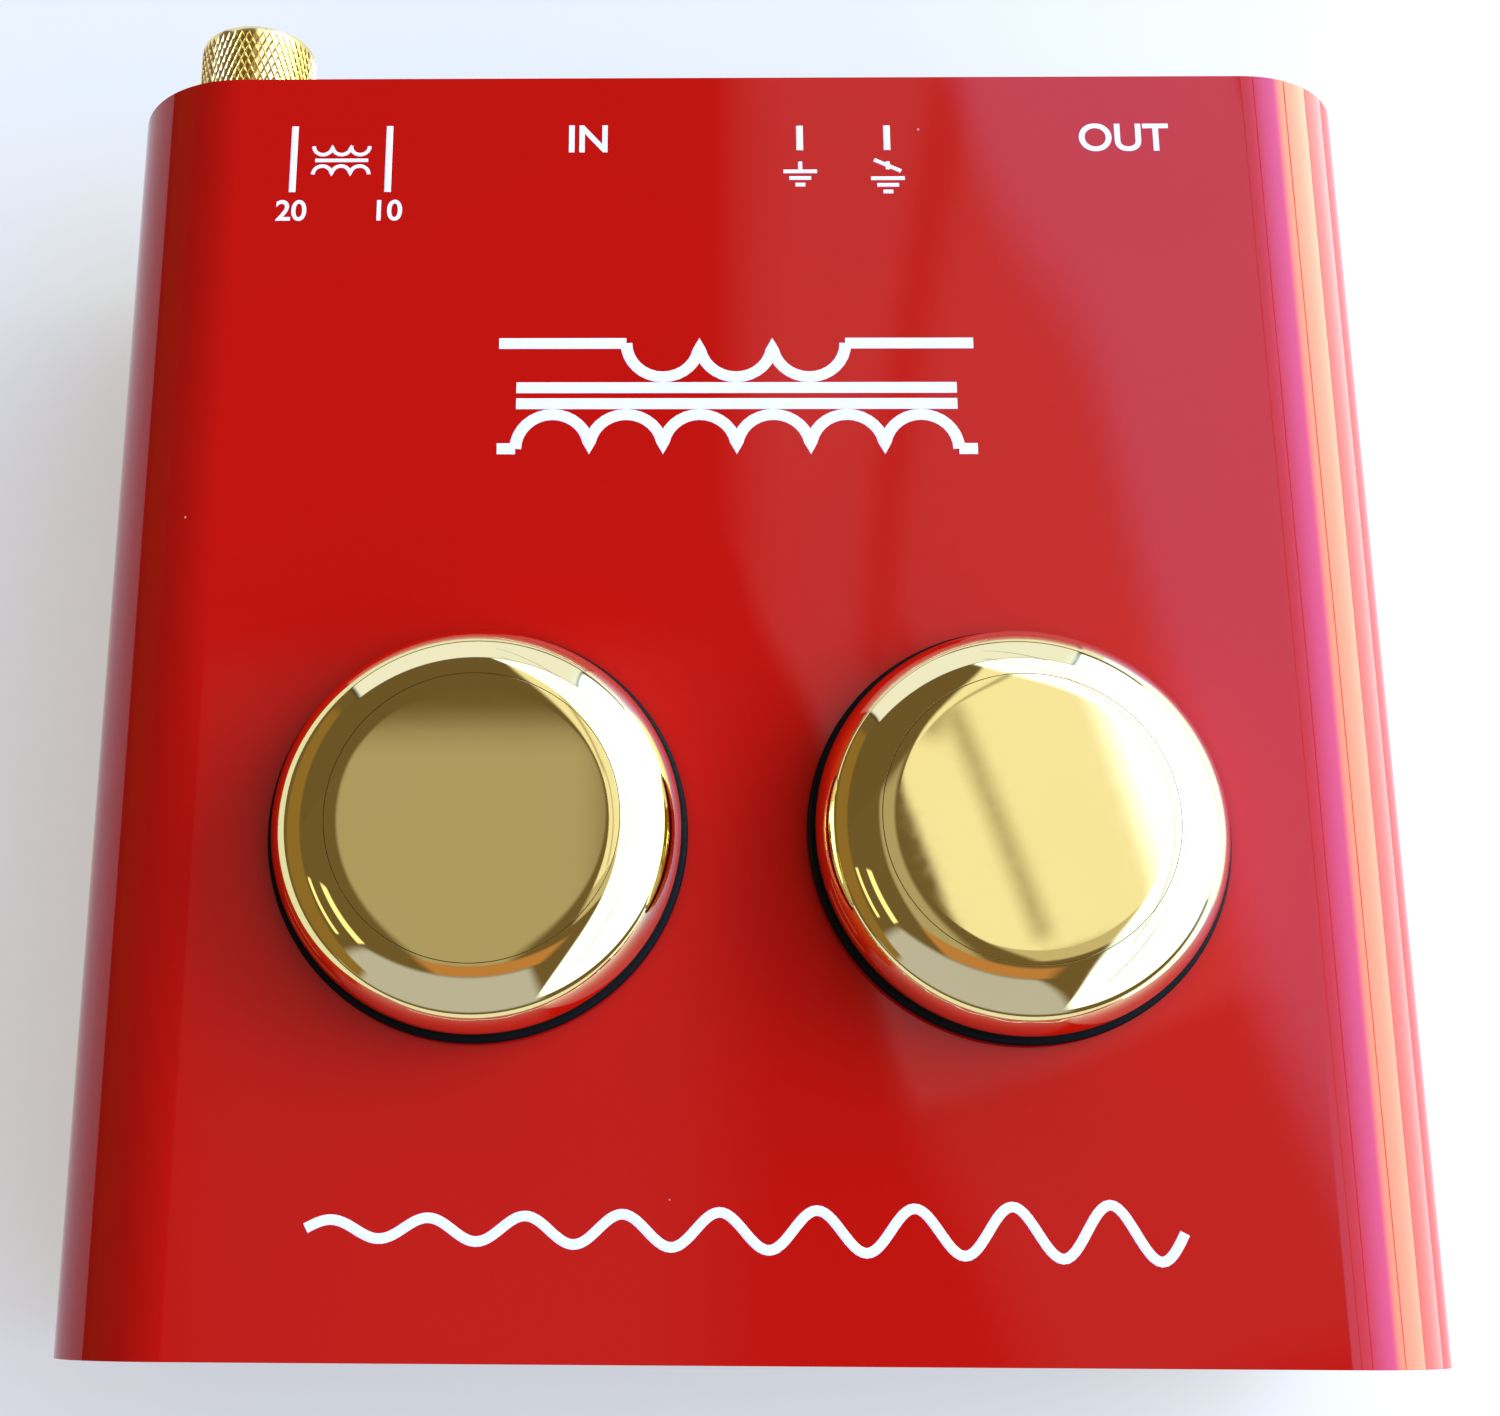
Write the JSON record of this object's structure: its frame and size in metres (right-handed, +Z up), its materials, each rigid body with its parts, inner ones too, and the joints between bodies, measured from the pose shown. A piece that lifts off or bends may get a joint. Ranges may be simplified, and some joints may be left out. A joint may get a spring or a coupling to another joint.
{
  "type": "moving coil step-up transformer",
  "caption": "Small red sheet-metal audio transformer box with polished gold caps, phono jacks, slide switches and a knurled ground post at the rear.",
  "frame": {"origin": "middle of the whole footprint, on the surface that the feet stand on", "axes": "+X right, +Y to the rear with the connectors, +Z up"},
  "size_m": [0.1296, 0.1414, 0.051],
  "materials": {
    "red_gloss_paint": "high-gloss red enamel on bent sheet",
    "black_powder_coat": "fine satin powder coat",
    "polished_gold": "mirror-polished gold plate",
    "gold_plate": "bright gold plate",
    "black_rubber": "matt moulded rubber",
    "black_steel": "black oxide",
    "plated_steel": "tin or zinc plated",
    "shield_alloy": "annealed nickel-iron",
    "green_board": "solder-masked glass epoxy",
    "brown_board": "phenolic board",
    "black_plastic": "moulded",
    "ivory_plastic": "moulded nylon",
    "white_plastic": "moulded",
    "red_plastic": "moulded",
    "copper_winding": "enamelled copper wire"
  },
  "bodies": {
    "case": {"top_cover": "red_gloss_paint", "base_chassis": "black_powder_coat", "rear_panel": "black_powder_coat", "cover_screws": "black_steel", "rubber_feet": "black_rubber", "main_board": "green_board", "board_standoffs": "plated_steel", "board_screws": "plated_steel", "input_jack_housing": "black_plastic", "output_jack_housing": "black_plastic", "jack_screws": "black_steel", "left_cap": "polished_gold", "left_grommet": "black_rubber", "left_shield_can": "shield_alloy", "left_core": "shield_alloy", "left_bobbin": "ivory_plastic", "left_primary_coil": "copper_winding", "left_secondary_coil": "copper_winding", "left_pins": "plated_steel", "right_cap": "polished_gold", "right_grommet": "black_rubber", "right_shield_can": "shield_alloy", "right_core": "shield_alloy", "right_bobbin": "ivory_plastic", "right_primary_coil": "copper_winding", "right_secondary_coil": "copper_winding", "right_pins": "plated_steel", "input_left_shell": "gold_plate", "input_left_insulator": "white_plastic", "input_left_contact": "gold_plate", "input_right_shell": "gold_plate", "input_right_insulator": "red_plastic", "input_right_contact": "gold_plate", "output_left_shell": "gold_plate", "output_left_insulator": "white_plastic", "output_left_contact": "gold_plate", "output_right_shell": "gold_plate", "output_right_insulator": "red_plastic", "output_right_contact": "gold_plate", "ratio_switch_frame": "plated_steel", "ratio_switch_base": "brown_board", "ratio_switch_terminals": "plated_steel", "lift_switch_frame": "plated_steel", "lift_switch_base": "brown_board", "lift_switch_terminals": "plated_steel", "ground_stud": "gold_plate", "ground_bush": "black_plastic", "ground_inner_washer": "black_plastic", "ground_tag": "gold_plate", "ground_inner_nut": "gold_plate", "ground_link": "plated_steel"},
    "ratio_slider": {"ratio_switch_slider": "black_plastic", "ratio_switch_bridges": "gold_plate"},
    "lift_slider": {"lift_switch_slider": "black_plastic", "lift_switch_bridges": "gold_plate"},
    "clamp_washer": {"ground_clamp_washer": "gold_plate"},
    "thumb_nut": {"ground_nut": "gold_plate"}
  },
  "joints": [
    {"name": "ratio_slide", "type": "slide", "parent": "case", "child": "ratio_slider", "axis": [1, 0, 0], "range_m": [0, 0.004]},
    {"name": "lift_slide", "type": "slide", "parent": "case", "child": "lift_slider", "axis": [1, 0, 0], "range_m": [0, 0.004]},
    {"name": "clamp_travel", "type": "slide", "parent": "case", "child": "clamp_washer", "axis": [0, 1, 0], "range_m": [0, 0.00351]},
    {"name": "nut_turn", "type": "hinge", "parent": "clamp_washer", "child": "thumb_nut", "pos_m": [-0.0537, 0.0583, 0.0235], "axis": [0, 1, 0], "range_deg": [0, 1800]}
  ],
  "couplings": [
    {"joint": "clamp_travel", "follows": "nut_turn", "m_per_rad": 0.00011141}
  ]
}
